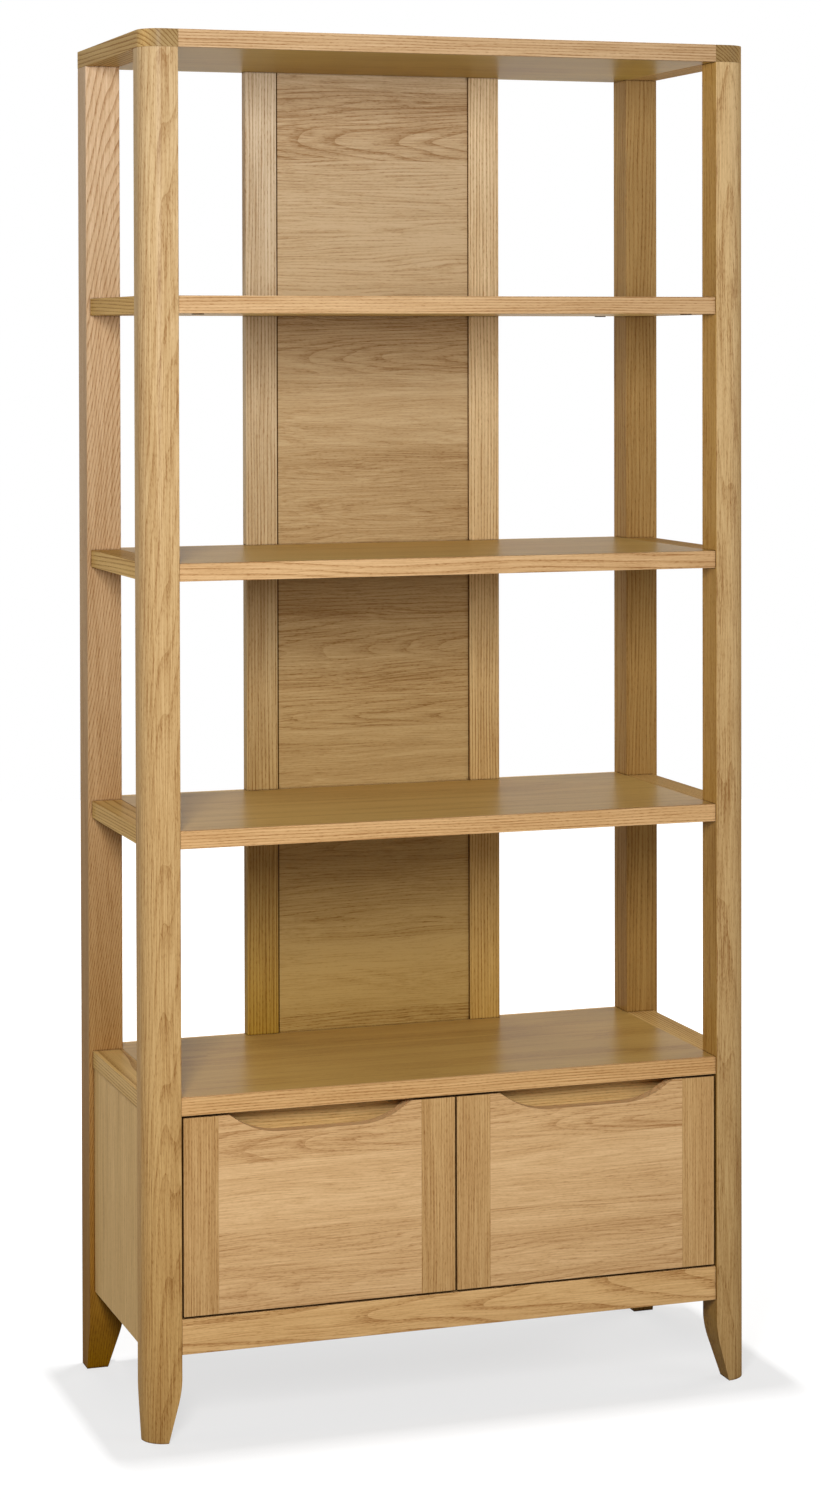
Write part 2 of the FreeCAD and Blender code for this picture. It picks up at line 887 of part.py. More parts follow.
def build_cabinet(nodes):
    """Fixed pieces of the drawer cabinet."""
    for side in (LEFT, RIGHT):
        nodes[f"side_panel_{SIDE_NAMES[side]}"] = [side_panel(side)]
    nodes["base_rail"] = [base_rail()]
    nodes["cabinet_floor"] = [cabinet_floor()]
    nodes["cabinet_back"] = [cabinet_back()]
    nodes["partition"] = [partition()]
    nodes["finger_rail"] = [finger_rail()]
    nodes["runner_cleats"] = [runner_cleat(LEFT), runner_cleat(RIGHT)]
    nodes["runner_cabinet_sections"] = runner_pair(LEFT, 0) + runner_pair(RIGHT, 0)


def build_drawers(nodes):
    """Both drawers with their middle and drawer runner sections."""
    for side in (LEFT, RIGHT):
        name = f"drawer_{SIDE_NAMES[side]}"
        nodes[f"runner_middle_sections_{SIDE_NAMES[side]}"] = runner_pair(side, 1)
        nodes[f"{name}_runner_sections"] = runner_pair(side, 2)
        nodes[f"{name}_front_outer_stile"] = [front_stile(side, True)]
        nodes[f"{name}_front_inner_stile"] = [front_stile(side, False)]
        nodes[f"{name}_front_panel"] = [front_panel(side)]
        nodes[f"{name}_sides"] = [box_side(side, "outer"), box_side(side, "inner")]
        nodes[f"{name}_box_front"] = [box_end(side, FRONT)]
        nodes[f"{name}_box_back"] = [box_end(side, REAR)]
        nodes[f"{name}_bottom"] = [box_floor(side)]


def main():
    nodes = {}
    build_frame(nodes)
    build_top(nodes)
    build_levels(nodes)
    build_cam_fittings(nodes)
    build_back(nodes)
    build_cabinet(nodes)
    build_drawers(nodes)
    os.makedirs("parts", exist_ok=True)
    for name, solids in nodes.items():
        pieces = [solid.removeSplitter() for solid in solids]
        shape = pieces[0] if len(pieces) == 1 else Part.makeCompound(pieces)
        shape.exportStep(os.path.join("parts", name + ".step"))
    print(len(nodes), "nodes,", sum(len(solids) for solids in nodes.values()), "solids")


main()
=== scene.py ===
import json
import math

import bpy
from bpy.props import FloatProperty, FloatVectorProperty, IntProperty
from mathutils import Euler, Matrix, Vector


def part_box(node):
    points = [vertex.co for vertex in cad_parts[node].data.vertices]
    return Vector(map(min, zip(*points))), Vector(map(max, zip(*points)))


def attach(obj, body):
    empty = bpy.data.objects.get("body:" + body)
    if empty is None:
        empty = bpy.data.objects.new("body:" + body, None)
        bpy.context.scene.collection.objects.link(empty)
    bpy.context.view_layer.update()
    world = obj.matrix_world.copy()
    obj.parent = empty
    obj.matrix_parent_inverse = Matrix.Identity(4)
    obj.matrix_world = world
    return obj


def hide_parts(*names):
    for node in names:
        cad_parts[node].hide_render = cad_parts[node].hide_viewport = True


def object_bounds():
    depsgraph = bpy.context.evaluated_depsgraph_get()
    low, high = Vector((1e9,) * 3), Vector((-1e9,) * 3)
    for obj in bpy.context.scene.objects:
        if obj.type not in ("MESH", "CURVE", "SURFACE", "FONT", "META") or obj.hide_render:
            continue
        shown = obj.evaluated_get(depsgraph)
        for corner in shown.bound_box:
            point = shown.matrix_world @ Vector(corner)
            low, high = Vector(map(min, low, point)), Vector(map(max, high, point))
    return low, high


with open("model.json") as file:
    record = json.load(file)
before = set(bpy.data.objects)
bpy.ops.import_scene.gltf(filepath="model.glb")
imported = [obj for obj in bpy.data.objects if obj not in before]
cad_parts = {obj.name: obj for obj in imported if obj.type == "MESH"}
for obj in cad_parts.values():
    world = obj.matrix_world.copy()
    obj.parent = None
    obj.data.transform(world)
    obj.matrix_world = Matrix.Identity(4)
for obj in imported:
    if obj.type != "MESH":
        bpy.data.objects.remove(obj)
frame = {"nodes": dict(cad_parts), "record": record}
cad_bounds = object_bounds()

bl_info = {
    "name": "Oak shelving unit",
    "version": (1, 0, 0),
    "blender": (4, 5, 0),
    "location": "3D View > Sidebar > Shelving unit",
    "description": "Models and finishes the pieces of an oak shelving unit and its studio",
    "category": "Object",
}

# Blender works in metres, and sizes below are written in millimetres.
MM = 0.001
LEFT = -1
RIGHT = 1
FRONT = -1
REAR = 1
SIDE_NAMES = {LEFT: "left", RIGHT: "right"}
END_NAMES = {FRONT: "front", REAR: "rear"}
# The levels with a board, from the bottom up, and the open bays above them
LEVELS = ("cabinet_top", "lower_shelf", "middle_shelf", "upper_shelf")
BAYS = ("lower", "middle", "upper", "top")

BODY_OF = {
    node: body
    for body, nodes in frame["record"]["behaviour"]["bodies"].items()
    for node in nodes
}

# Lines of the frame that several pieces share
UNIT_HIGH = Vector(cad_bounds[1])
INNER_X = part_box("upper_shelf_lipping")[1].x
INNER_Y = -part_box("post_front_left")[1].y
POST_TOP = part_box("top_lipping")[0].z
CABINET_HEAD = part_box("cabinet_top_board")[0].z
SEAM = 1.0 * MM
CAM_RADIUS = 7.4 * MM
# Places this close to each other count as the same.
CLOSE = 0.01 * MM


def linear(code):
    """Linear RGB of an sRGB hex colour such as #C8A06A."""
    channels = [int(code[i : i + 2], 16) / 255 for i in (1, 3, 5)]
    return tuple(c / 12.92 if c <= 0.04045 else ((c + 0.055) / 1.055) ** 2.4 for c in channels)


class ShelvingSizes(bpy.types.PropertyGroup):
    """Sizes of rounded and shaped parts."""

    corner_radius: FloatProperty(
        name="Corner radius",
        description="Radius of the outer corner of a front post",
        default=32 * MM,
        min=MM,
        unit="LENGTH",
    )
    corner_segments: IntProperty(
        name="Corner segments",
        description="Flat strips round the outer corner of a front post",
        default=20,
        min=2,
    )
    post_arris: FloatProperty(
        name="Post arris",
        description="Radius of the other long edges of a post",
        default=1.5 * MM,
        min=0.1 * MM,
        unit="LENGTH",
    )
    board_arris: FloatProperty(
        name="Board arris",
        description="Radius of the sanded edges of boards, strips and rails",
        default=0.8 * MM,
        min=0.1 * MM,
        unit="LENGTH",
    )
    joint_arris: FloatProperty(
        name="Joint arris",
        description="Radius of the edges that meet in a joint, which makes its fine line",
        default=0.4 * MM,
        min=0.1 * MM,
        unit="LENGTH",
    )
    glue_arris: FloatProperty(
        name="Glued arris",
        description="Radius of the edges of a glued joint, which barely shows",
        default=0.15 * MM,
        min=0.05 * MM,
        unit="LENGTH",
    )
    foot_tip: FloatProperty(
        name="Foot tip",
        description="Width of a foot on the floor",
        default=31 * MM,
        min=MM,
        unit="LENGTH",
    )
    foot_taper_height: FloatProperty(
        name="Foot taper height",
        description="Height at which a foot starts to taper",
        default=92 * MM,
        min=MM,
        unit="LENGTH",
    )
    foot_curve_radius: FloatProperty(
        name="Foot curve radius",
        description="Radius of the curve at the start of the taper",
        default=160 * MM,
        min=MM,
        unit="LENGTH",
    )
    foot_cuts: IntProperty(
        name="Foot cuts",
        description="Flat cuts that follow the curve of a foot",
        default=9,
        min=2,
    )
    scoop_width: FloatProperty(
        name="Scoop width",
        description="Width of the hand scoop at the top of a drawer front",
        default=260 * MM,
        min=MM,
        unit="LENGTH",
    )
    scoop_depth: FloatProperty(
        name="Scoop depth",
        description="Depth of the hand scoop below the top of a drawer front",
        default=27.5 * MM,
        min=MM,
        unit="LENGTH",
    )
    scoop_radius: FloatProperty(
        name="Scoop radius",
        description="Radius of the two lower corners of the scoop",
        default=110 * MM,
        min=MM,
        unit="LENGTH",
    )
    scoop_slope: FloatProperty(
        name="Scoop slope",
        description="Slope of the shoulders of the scoop",
        default=math.radians(34),
        min=math.radians(5),
        subtype="ANGLE",
    )
    scoop_steps: IntProperty(
        name="Scoop steps",
        description="Straight steps along each curve of the scoop",
        default=10,
        min=2,
    )
    cam_rim_diameter: FloatProperty(
        name="Cam rim diameter",
        description="Diameter of the rims of the cams under the shelves",
        default=16.5 * MM,
        min=MM,
        unit="LENGTH",
    )
    cam_rim_height: FloatProperty(
        name="Cam rim height",
        description="How far the rim of a cam stands proud of the shelf",
        default=1.3 * MM,
        min=0.1 * MM,
        unit="LENGTH",
    )
    cam_rim_width: FloatProperty(
        name="Cam rim width",
        description="Width of the ring that the rim of a cam forms",
        default=2 * MM,
        min=0.1 * MM,
        unit="LENGTH",
    )


class OakSettings(bpy.types.PropertyGroup):
    """Grain and lacquer of all oak finishes."""

    # Fibres and pores are really about 0.3 mm wide. They are drawn wider, so that they show.
    fibre_width: FloatProperty(
        name="Fibre width",
        description="Width of a streak along the grain",
        default=1.4 * MM,
        min=0.1 * MM,
        unit="LENGTH",
    )
    fibre_length: FloatProperty(
        name="Fibre length",
        description="Length of a streak along the grain",
        default=110 * MM,
        min=MM,
        unit="LENGTH",
    )
    pore_width: FloatProperty(
        name="Pore width",
        description="Width of an open pore",
        default=1.2 * MM,
        min=0.1 * MM,
        unit="LENGTH",
    )
    pore_length: FloatProperty(
        name="Pore length",
        description="Length of an open pore",
        default=7 * MM,
        min=MM,
        unit="LENGTH",
    )
    roughness: FloatProperty(
        name="Wood roughness",
        description="Roughness of the wood under the lacquer",
        default=0.55,
        min=0.0,
        max=1.0,
        subtype="FACTOR",
    )
    lacquer_roughness: FloatProperty(
        name="Lacquer roughness",
        description="Roughness of the satin lacquer",
        default=0.3,
        min=0.0,
        max=1.0,
        subtype="FACTOR",
    )


class FinishColours(bpy.types.PropertyGroup):
    """Colours of the wood and metal finishes that all pieces share."""

    dark_grain: FloatVectorProperty(
        name="Dark grain",
        description="Tone of the darkest grain, as a share of the oak's own colour",
        default=linear("#BCA68E"),
        min=0.0,
        max=1.0,
        subtype="COLOR",
    )
    middle_grain: FloatVectorProperty(
        name="Middle grain",
        description="Tone of the middle grain, as a share of the oak's own colour",
        default=linear("#E7DFD4"),
        min=0.0,
        max=1.0,
        subtype="COLOR",
    )
    end_grain: FloatVectorProperty(
        name="End grain",
        description="Tone of the end grain, as a share of the long grain's colour",
        default=linear("#D1D4DF"),
        min=0.0,
        max=1.0,
        subtype="COLOR",
    )
    # Colour of the painted shade in seams, inner corners and back panel joints
    seam: FloatVectorProperty(
        name="Seam",
        description="Tone of seams and inner corners, as a share of the oak's own colour",
        default=linear("#6C5945"),
        min=0.0,
        max=1.0,
        subtype="COLOR",
    )
    box_wood: FloatVectorProperty(
        name="Drawer box",
        description="Colour of the hardwood of the drawer boxes",
        default=linear("#E2C79A"),
        min=0.0,
        max=1.0,
        subtype="COLOR",
    )
    runner_steel: FloatVectorProperty(
        name="Runner",
        description="Colour of the runners' zinc plating",
        default=linear("#C9CBCD"),
        min=0.0,
        max=1.0,
        subtype="COLOR",
    )
    cam_zinc: FloatVectorProperty(
        name="Cam",
        description="Colour of the browned cams",
        default=linear("#4A3A2C"),
        min=0.0,
        max=1.0,
        subtype="COLOR",
    )
    bolt_steel: FloatVectorProperty(
        name="Bolt",
        description="Colour of the zinc plated bolts",
        default=linear("#BDBDB8"),
        min=0.0,
        max=1.0,
        subtype="COLOR",
    )


# Materials

# Numbers of a Mix node's sockets, whose names its sockets for plain numbers have as well
FACTOR = 0
COLOUR_A = 6
COLOUR_B = 7
MIXED_COLOUR = 2
MULTIPLIED = {"data_type": "RGBA", "blend_type": "MULTIPLY"}
# Turns that bring the direction of the grain onto the pattern's X axis
GRAIN_TURNS = {
    "X": Euler((0, 0, 0)),
    "Y": Euler((0, 0, math.radians(-90))),
    "Z": Euler((0, math.radians(90), 0)),
}
GRAIN_AXES = {"X": (1, 0, 0), "Y": (0, 1, 0), "Z": (0, 0, 1)}
# The painted shade lines at a back panel's joints are moved a hair to the right, so the left one
# is wider.
PANEL_SHIFT = 0.7 * MM
# How far short of a panel's end the painted shade of its joint starts and is full
JOINT_FADE = (1.4 * MM, 0.9 * MM)
# How far the random shares of a glued board move it in its log, along and across the grain
LOG_SCATTER = (1.0, 40 * MM, 50 * MM)
# A distance in metres that is past the end of any piece
BEYOND = 9


def opaque(colour):
    """The colour with full alpha, as a node socket takes it."""
    return (*colour, 1.0)


WHITE = opaque(linear("#FFFFFF"))


def add(tree, kind, settings, output=0):
    """Add a shader node with its properties, input values and links, and give one output."""
    node = tree.nodes.new("ShaderNode" + kind)
    for key, value in settings.items():
        if isinstance(value, bpy.types.NodeSocket):
            tree.links.new(value, node.inputs[key])
        elif isinstance(key, str) and key in node.bl_rna.properties:
            setattr(node, key, value)
        else:
            node.inputs[key].default_value = value
    return node.outputs[output]


def new_material(name, roughness, coat=0.0, coat_roughness=0.3, metallic=0.0):
    """Material with a principled shader whose constants sit on its own sockets."""
    material = bpy.data.materials.new(name)
    material.use_nodes = True
    tree = material.node_tree
    shader = tree.nodes["Principled BSDF"]
    shader.inputs["Roughness"].default_value = roughness
    shader.inputs["Coat Weight"].default_value = coat
    shader.inputs["Coat Roughness"].default_value = coat_roughness
    shader.inputs["Metallic"].default_value = metallic
    # Only lacquer and metal shine. Bare wood and the matt floor have no gloss of their own.
    shader.inputs["Specular IOR Level"].default_value = 0.0
    return tree, shader


def stretched_noise(tree, place, length, width, detail, seed, output=0):
    """Noise with features of a length along the grain and a width across it."""
    scale = (1 / length, 1 / width, 1 / width)
    # Each seed starts in another part of the noise.
    start = (7.3 * seed, 3.7 * seed, 1.9 * seed)
    mapped = add(tree, "Mapping", {"Vector": place, "Scale": scale, "Location": start})
    return add(tree, "TexNoise", {"Vector": mapped, "Scale": 1.0, "Detail": detail}, output)


def place_in_log(tree, local, grain, node, heart):
    """Place with X along the grain, counted from the heart of the log beside the piece."""
    turn = GRAIN_TURNS[grain]
    low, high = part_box(node)
    start = Vector((0, -heart[0] * MM, -heart[1] * MM)) - turn.to_matrix() @ ((low + high) / 2)
    return add(tree, "Mapping", {"Vector": local, "Rotation": turn, "Location": start})


def painted_joint_shade(tree, place, joint):
    """1 on the painted shade lines at both ends of a panel, and 0 between them."""
    along = add(tree, "SeparateXYZ", {"Vector": place}, "X")
    reach = add(tree, "Math", {"operation": "SUBTRACT", 0: along, 1: PANEL_SHIFT})
    reach = add(tree, "Math", {"operation": "ABSOLUTE", 0: reach})
    fade = {"From Min": joint - JOINT_FADE[0], "From Max": joint - JOINT_FADE[1]}
    return add(tree, "MapRange", {"Value": reach, **fade})


def glued_boards(tree, place, width):
    """Place in its own log of each board that a panel is glued from, and its random shares."""
    across = add(tree, "SeparateXYZ", {"Vector": place}, "Z")
    count = add(tree, "Math", {"operation": "DIVIDE", 0: across, 1: width})
    count = add(tree, "Math", {"operation": "ROUND", 0: count})
    shares = add(tree, "TexWhiteNoise", {"noise_dimensions": "1D", "W": count}, "Color")
    edge = Vector((BEYOND, BEYOND, width / 2))
    place = add(tree, "VectorMath", {"operation": "WRAP", 0: place, 1: edge, 2: -edge})
    moved = {"operation": "MULTIPLY_ADD", 0: shares, 1: LOG_SCATTER, 2: place}
    return add(tree, "VectorMath", moved), shares


def wandering_fibres(tree, place, wander, seed):
    """Place moved across the grain by up to so many mm, as the fibres of a tree wander."""
    drift = stretched_noise(tree, place, 300 * MM, 45 * MM, 1.5, seed, "Color")
    drift = add(tree, "VectorMath", {"operation": "SUBTRACT", 0: drift, 1: (0.5, 0.5, 0.5)})
    reach = (0, 2 * wander * MM, 2 * wander * MM)
    return add(tree, "VectorMath", {"operation": "MULTIPLY_ADD", 0: drift, 1: reach, 2: place})


def early_wood(tree, place, ring, tilt, slant, seed):
    """1 where a growth ring starts with a band of open pores, and 0 in the rest of it."""
    lean = (0, math.radians(slant), math.radians(tilt))
    log = add(tree, "Mapping", {"Vector": place, "Rotation": lean})
    per_ring = (0, 1 / (ring * MM), 1 / (ring * MM))
    log = add(tree, "VectorMath", {"operation": "MULTIPLY", 0: log, 1: per_ring})
    rings = add(tree, "VectorMath", {"operation": "LENGTH", 0: log}, "Value")
    # Good and bad years move the rings by up to two of their widths.
    uneven = stretched_noise(tree, place, 800 * MM, 40 * MM, 1, seed)
    rings = add(tree, "Math", {"operation": "MULTIPLY_ADD", 0: uneven, 1: 2.0, 2: rings})
    phase = add(tree, "Math", {"operation": "FRACT", 0: rings})
    return add(tree, "MapRange", {"Value": phase, "From Min": 0.45, "From Max": 0.05})


def grain_level(tree, place, early, board_shares, lines, streaks, bands, seed):
    """Level of the wood, from dark grain at 0 to pale grain at 1."""
    settings = bpy.context.scene.shelving_oak
    fibre = stretched_noise(tree, place, settings.fibre_length, settings.fibre_width, 2.5, seed)
    pores = stretched_noise(tree, place, settings.pore_length, settings.pore_width, 1, seed)
    pores = add(tree, "MapRange", {"Value": pores, "From Min": 0.50, "From Max": 0.70})
    band = stretched_noise(tree, place, 500 * MM, 28 * MM, 2, seed)
    # The pores break up the line of a ring, which shows on some boards more than on others.
    share = add(tree, "Math", {"operation": "MULTIPLY_ADD", 0: pores, 1: 0.35, 2: 0.65})
    line = add(tree, "Math", {"operation": "MULTIPLY", 0: early, 1: share})
    if board_shares:
        figure = add(tree, "SeparateXYZ", {"Vector": board_shares}, "Y")
        line = add(tree, "Math", {"operation": "MULTIPLY", 0: line, 1: figure})
    # Each pattern has its weight and its mean, about which it swings.
    patterns = [
        (band, 0.8 * bands, 0.5),
        (fibre, 1.4 * streaks, 0.5),
        (pores, -0.2 * streaks, 0.15),
        (line, -0.6 * lines, 1 / 6),
    ]
    level = 0.6 - sum(weight * mean for pattern, weight, mean in patterns)
    for pattern, weight, mean in patterns:
        level = add(tree, "Math", {"operation": "MULTIPLY_ADD", 0: pattern, 1: weight, 2: level})
    if board_shares:
        tone = add(tree, "SeparateXYZ", {"Vector": board_shares}, "X")
        tone = add(tree, "Math", {"operation": "SUBTRACT", 0: tone, 1: 0.5})
        level = add(tree, "Math", {"operation": "MULTIPLY_ADD", 0: tone, 1: 0.4, 2: level})
    return level


def pale_tone_and_painted_light(tree, local, top_colour, foot_colour, foot):
    """Wood's pale tone with painted light and shade, from the height foot to the unit's top."""
    height = add(tree, "SeparateXYZ", {"Vector": local}, "Z")
    rise = add(tree, "MapRange", {"Value": height, "From Min": foot, "From Max": UNIT_HIGH.z})
    pale = {FACTOR: rise, COLOUR_A: opaque(foot_colour), COLOUR_B: opaque(top_colour)}
    return add(tree, "Mix", {"data_type": "RGBA", **pale}, MIXED_COLOUR)


def grain_shade(tree, level):
    """Tone of the grain at a level, as a share of the pale tone."""
    colours = bpy.context.scene.shelving_colours
    shade = add(tree, "ValToRGB", {"Fac": level})
    stops = shade.node.color_ramp.elements
    stops[0].color = opaque(colours.dark_grain)
    stops[1].color = WHITE
    stops.new(0.5).color = opaque(colours.middle_grain)
    return shade


def faces_along(tree, axis, start, full):
    """1 on the faces that look along an axis, and 0 where they turn from it."""
    normal = add(tree, "TexCoord", {}, "Normal")
    along = {"operation": "DOT_PRODUCT", 0: normal, 1: axis}
    along = add(tree, "VectorMath", along, "Value")
    along = add(tree, "Math", {"operation": "ABSOLUTE", 0: along})
    return add(tree, "MapRange", {"Value": along, "From Min": start, "From Max": full})


def oak(name, top_colour, foot_colour, grain, node, heart, ring=5, tilt=1.2, slant=0, wander=8,
        lines=1.0, streaks=1.0, bands=1.0, board=0, joint=0, foot=0, side=None, seed=1, coat=0.1):
    """Lacquered oak sawn from a log: growth rings, open pores, fibres and darker end grain.

    The colours are its pale tones at the top of the unit and at the height foot, in metres.
    Where they differ, the change with height is painted light and shade.
    grain is the axis that the grain follows. heart is the way in mm from the middle of the
    node's box to the heart of the log, along the two axes across the grain. ring is the
    spacing of the rings in mm. tilt and slant are the angles in degrees between log and piece
    along the two axes, and wander is how many mm the rings wander. lines, streaks and bands
    scale the contrast of the rings, of the fibres and of broad bands of tone. board is the
    width in mm of the boards that a panel is glued from, or 0 for a single one. joint is how
    far in metres a panel's end joints are from its middle, where painted shade lines are
    drawn, or 0 for none. side is a painted shade of the left and right faces, as a share of
    the front's colour. coat is the weight of the satin lacquer.
    """
    settings = bpy.context.scene.shelving_oak
    colours = bpy.context.scene.shelving_colours
    tree, shader = new_material(name, settings.roughness, coat, settings.lacquer_roughness)
    local = add(tree, "TexCoord", {}, "Object")
    panel_place = place_in_log(tree, local, grain, node, heart)
    place = panel_place
    board_shares = None
    if board:
        place, board_shares = glued_boards(tree, panel_place, board * MM)
    place = wandering_fibres(tree, place, wander, seed)
    early = early_wood(tree, place, ring, tilt, slant, seed)
    level = grain_level(tree, place, early, board_shares, lines, streaks, bands, seed)

    # End grain drinks more lacquer, so it is darker than the long grain.
    tones = [(faces_along(tree, GRAIN_AXES[grain], 0.6, 0.95), colours.end_grain)]
    # Painted shade: the left and right faces of a post are made darker than its front.
    if side:
        tones.append((faces_along(tree, GRAIN_AXES["X"], 0.5, 0.98), side))
    # Painted shade: seams and inner corners are darkened where they are closed in.
    open_share = add(tree, "AmbientOcclusion", {"samples": 4, "Distance": 6 * MM}, "AO")
    seam = add(tree, "MapRange", {"Value": open_share, "From Min": 0.75, "From Max": 0.3})
    # A back panel also gets painted shade lines along its joints with the stiles.
    if joint:
        joints = painted_joint_shade(tree, panel_place, joint)
        seam = add(tree, "Math", {"operation": "MAXIMUM", 0: seam, 1: joints})
    tones.append((seam, colours.seam))

    # The pale tone carries painted light and shade that change with height.
    pale = pale_tone_and_painted_light(tree, local, top_colour, foot_colour, foot)
    wood = {**MULTIPLIED, FACTOR: 1.0, COLOUR_A: pale, COLOUR_B: grain_shade(tree, level)}
    wood = add(tree, "Mix", wood, MIXED_COLOUR)
    for share, tone in tones:
        wood = {**MULTIPLIED, FACTOR: share, COLOUR_A: wood, COLOUR_B: opaque(tone)}
        wood = add(tree, "Mix", wood, MIXED_COLOUR)
    tree.links.new(wood, shader.inputs["Base Color"])
    bump = add(tree, "Bump", {"Height": level, "Strength": 0.3, "Distance": 0.3 * MM})
    tree.links.new(bump, shader.inputs["Normal"])


def plated_steel(name, colour, roughness):
    """Zinc plated sheet steel with faint rolling lines along the unit's depth."""
    tree, shader = new_material(name, roughness, metallic=1.0)
    local = add(tree, "TexCoord", {}, "Object")
    # Rolling lines are about 0.2 mm apart. They are drawn 1.2 mm apart, so that they show.
    apart = 1.2 * MM
    long = 60 * MM
    scale = (1 / apart, 1 / long, 1 / apart)
    lines = add(tree, "Mapping", {"Vector": local, "Scale": scale})
    lines = add(tree, "TexNoise", {"Vector": lines, "Scale": 1.0, "Detail": 2.0})
    shade = add(tree, "ValToRGB", {"Fac": lines})
    stops = shade.node.color_ramp.elements
    stops[0].color = opaque(Vector(colour) * 0.8)
    stops[1].color = opaque(colour)
    tree.links.new(shade, shader.inputs["Base Color"])
    bump = add(tree, "Bump", {"Height": lines, "Strength": 0.15, "Distance": 0.1 * MM})
    tree.links.new(bump, shader.inputs["Normal"])


def make_oak_finishes():
    """Oak for each kind of piece. Far hearts give straight rings, near ones give arches."""
    panel_joint = (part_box("back_stiles_right")[0].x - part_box("back_stiles_left")[1].x) / 2
    # Where top and foot colours differ, the change with height is painted light and shade.
    oak("oak_post_front_left", linear("#D0B48A"), linear("#CBA264"), "Z", "post_front_left",
        heart=(60, -8), ring=3, tilt=1.5, wander=5, lines=0.7, streaks=1.4, seed=1)
    # The left and right faces of this post carry a painted shade.
    oak("oak_post_front_right", linear("#DABA89"), linear("#C19D67"), "Z", "post_front_right",
        heart=(45, 10), tilt=1.0, lines=0.7, streaks=1.6, side=linear("#E0D5AA"), seed=2)
    oak("oak_post_rear_left", linear("#DFC2A0"), linear("#986900"), "Z", "post_rear_left",
        heart=(260, 260), ring=2.8, slant=-12, wander=5, lines=1.3, seed=3)
    oak("oak_post_rear_right", linear("#AF8F5D"), linear("#9B7538"), "Z", "post_rear_right",
        heart=(60, 120), tilt=1.0, seed=4)
    oak("oak_rail", linear("#D6AD67"), linear("#DDB979"), "Y", "middle_shelf_rail_left",
        heart=(180, 160), ring=4, wander=2, lines=1.5, streaks=0.7, seed=5)
    top_end = dict(heart=(2500, -2500), wander=2, lines=2.0, streaks=0.8)
    oak("oak_top_rail_left", linear("#CAA76D"), linear("#CAA76D"), "Y", "top_rail_left",
        seed=19, **top_end)
    oak("oak_top_rail_right", linear("#C5A065"), linear("#C5A065"), "Y", "top_rail_right",
        seed=21, **top_end)
    oak("oak_edge_strip", linear("#D2B189"), linear("#E5B679"), "X", "middle_shelf_lipping",
        heart=(60, 40), ring=4, tilt=0.6, wander=4, lines=1.2, seed=6)
    # Boards are veneered with quiet wood and have more lacquer than the rest.
    veneer = dict(heart=(40, 60), ring=12, lines=0.4, streaks=0.7, bands=0.6, coat=0.4)
    oak("oak_board_veneer", linear("#EDCF86"), linear("#B48D48"), "X", "middle_shelf_board",
        seed=7, **veneer)
    oak("oak_top_veneer", linear("#BE9E53"), linear("#BE9E53"), "X", "top_board",
        seed=18, **veneer)
    stile_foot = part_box("back_stiles_left")[0].z
    stile = dict(heart=(20, 500), tilt=0.5, wander=4, lines=1.5, streaks=1.2, foot=stile_foot)
    oak("oak_back_stiles_left", linear("#DDCBB1"), linear("#A98534"), "Z", "back_stiles_left",
        seed=8, **stile)
    oak("oak_back_stiles_right", linear("#EAD4B1"), linear("#BE9953"), "Z", "back_stiles_right",
        seed=20, **stile)
    # The back panel has painted shade lines at its joints with the stiles.
    oak("oak_back_panel", linear("#D1B998"), linear("#A58228"), "X", "back_panel_upper",
        heart=(70, 30), tilt=3, wander=14, lines=1.2, streaks=1.1, bands=1.4, board=105,
        joint=panel_joint, seed=9)
    oak("oak_side_veneer", linear("#E6C285"), linear("#E6C285"), "Z", "side_panel_left",
        heart=(90, 20), ring=9, tilt=0.5, lines=0.5, streaks=0.8, bands=0.6, seed=10)
    oak("oak_base_rail", linear("#E3B980"), linear("#E3B980"), "X", "base_rail",
        heart=(30, 10), ring=6, tilt=2.0, wander=10, seed=11)
    # The finger rail is paler, which paints in light that the cabinet top's edge shades from it.
    oak("oak_finger_rail", linear("#E9C485"), linear("#E9C485"), "X", "finger_rail",
        heart=(60, 200), ring=4, seed=12)
    oak("oak_front_stile", linear("#D1A973"), linear("#D1A973"), "Z",
        "drawer_left_front_outer_stile", heart=(20, 300), ring=4, tilt=0.4, wander=3,
        lines=0.6, streaks=1.3, seed=13)
    oak("oak_cabinet_inside", linear("#C9A26A"), linear("#C9A26A"), "X", "cabinet_floor",
        heart=(60, 90), ring=10, lines=0.5, seed=14)
    oak("oak_front_panel", linear("#E6BF8D"), linear("#E6BF8D"), "X", "drawer_left_front_panel",
        heart=(70, 20), tilt=3, wander=10, bands=0.9, board=92, seed=15)


def make_other_finishes():
    """Light hardwood of the drawer boxes, and the metal of the fittings."""
    colours = bpy.context.scene.shelving_colours
    # The boxes are of pale wood with hardly any figure.
    wood = colours.box_wood
    plain = dict(heart=(200, 60), lines=0.3, streaks=0.5, bands=0.5)
    oak("hardwood_box_side", wood, wood, "Y", "drawer_left_sides", seed=16, **plain)
    oak("hardwood_box_end", wood, wood, "X", "drawer_left_box_back", seed=17, **plain)
    # Zinc plating has a soft grey shine, and browned zinc is dark and duller.
    plated_steel("zinc_plated_runner", colours.runner_steel, roughness=0.32)
    plated_steel("browned_zinc_cam", colours.cam_zinc, roughness=0.5)
    plated_steel("zinc_plated_bolt", colours.bolt_steel, roughness=0.35)


# Modelling

# Flat strips round an arris of a post
ARRIS_SEGMENTS = 3


def new_block(name, low, high):
    """Block between two corners, as the only selected object."""
    bpy.ops.object.select_all(action="DESELECT")
    low = Vector(low)
    high = Vector(high)
    bpy.ops.mesh.primitive_cube_add(size=1, location=(low + high) / 2, scale=high - low)
    bpy.ops.object.transform_apply(location=True, rotation=True, scale=True)
    piece = bpy.context.active_object
    piece.name = name
    piece.data.name = name
    return piece


